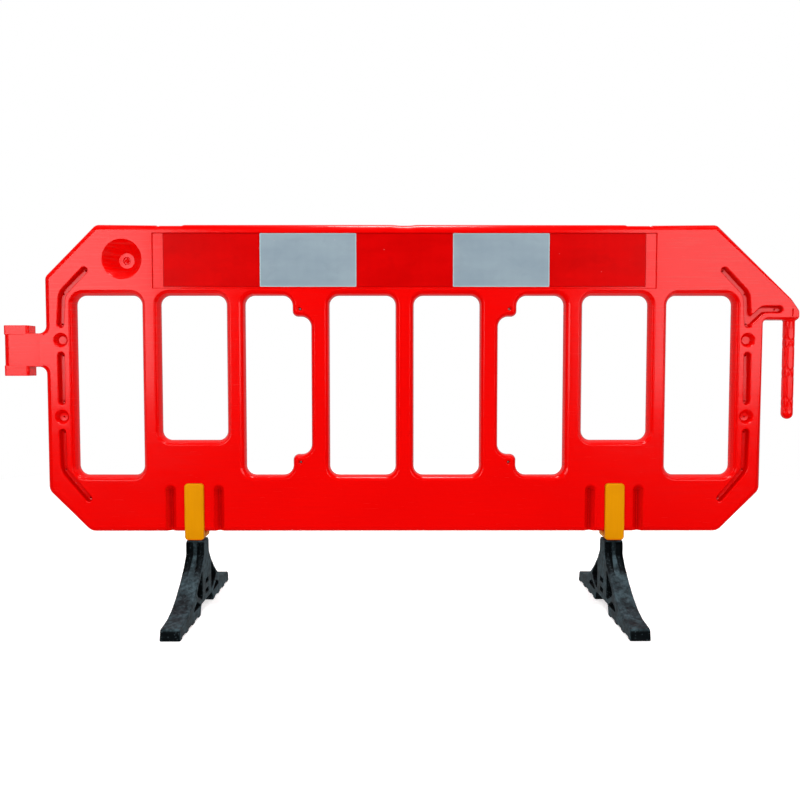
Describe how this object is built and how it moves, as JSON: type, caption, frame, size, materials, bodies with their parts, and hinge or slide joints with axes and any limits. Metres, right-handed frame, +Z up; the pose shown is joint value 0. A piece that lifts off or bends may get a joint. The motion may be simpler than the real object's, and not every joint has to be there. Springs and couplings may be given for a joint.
{
  "type": "crowd control barrier",
  "caption": "Hollow red plastic pedestrian barrier with windows, a reflective strip, a link pin and socket, and rubber feet that swivel in line for stacking.",
  "frame": {"origin": "on the ground under the middle of the panel, midway between its two faces", "axes": "+X along the panel towards the link pin, -Y towards the front, +Z up"},
  "size_m": [2.054, 0.5, 1],
  "materials": {
    "red_hdpe": "satin",
    "red_reflective_film": "gloss",
    "white_reflective_film": "gloss",
    "yellow_nylon": "satin",
    "recycled_rubber": "matte",
    "zinc_steel": "satin",
    "black_nylon": "satin"
  },
  "bodies": {
    "barrier": {"panel": "red_hdpe", "link_pin": "red_hdpe", "reflector_front_1": "red_reflective_film", "reflector_front_2": "white_reflective_film", "reflector_front_3": "red_reflective_film", "reflector_front_4": "white_reflective_film", "reflector_front_5": "red_reflective_film", "reflector_back_1": "red_reflective_film", "reflector_back_2": "white_reflective_film", "reflector_back_3": "red_reflective_film", "reflector_back_4": "white_reflective_film", "reflector_back_5": "red_reflective_film", "saddle_left": "yellow_nylon", "pivot_bolt_left": "zinc_steel", "thrust_washer_left": "black_nylon", "lock_washer_left": "zinc_steel", "lock_nut_left": "zinc_steel", "saddle_right": "yellow_nylon", "pivot_bolt_right": "zinc_steel", "thrust_washer_right": "black_nylon", "lock_washer_right": "zinc_steel", "lock_nut_right": "zinc_steel"},
    "left_foot": {"pivot_bush_left": "zinc_steel", "foot_left": "recycled_rubber"},
    "right_foot": {"pivot_bush_right": "zinc_steel", "foot_right": "recycled_rubber"}
  },
  "joints": [
    {"name": "left_foot_swivel", "type": "hinge", "parent": "barrier", "child": "left_foot", "pos_m": [-0.545, 0, 0], "axis": [0, 0, 1], "range_deg": [-90, 90]},
    {"name": "right_foot_swivel", "type": "hinge", "parent": "barrier", "child": "right_foot", "pos_m": [0.545, 0, 0], "axis": [0, 0, 1], "range_deg": [-90, 90]}
  ]
}
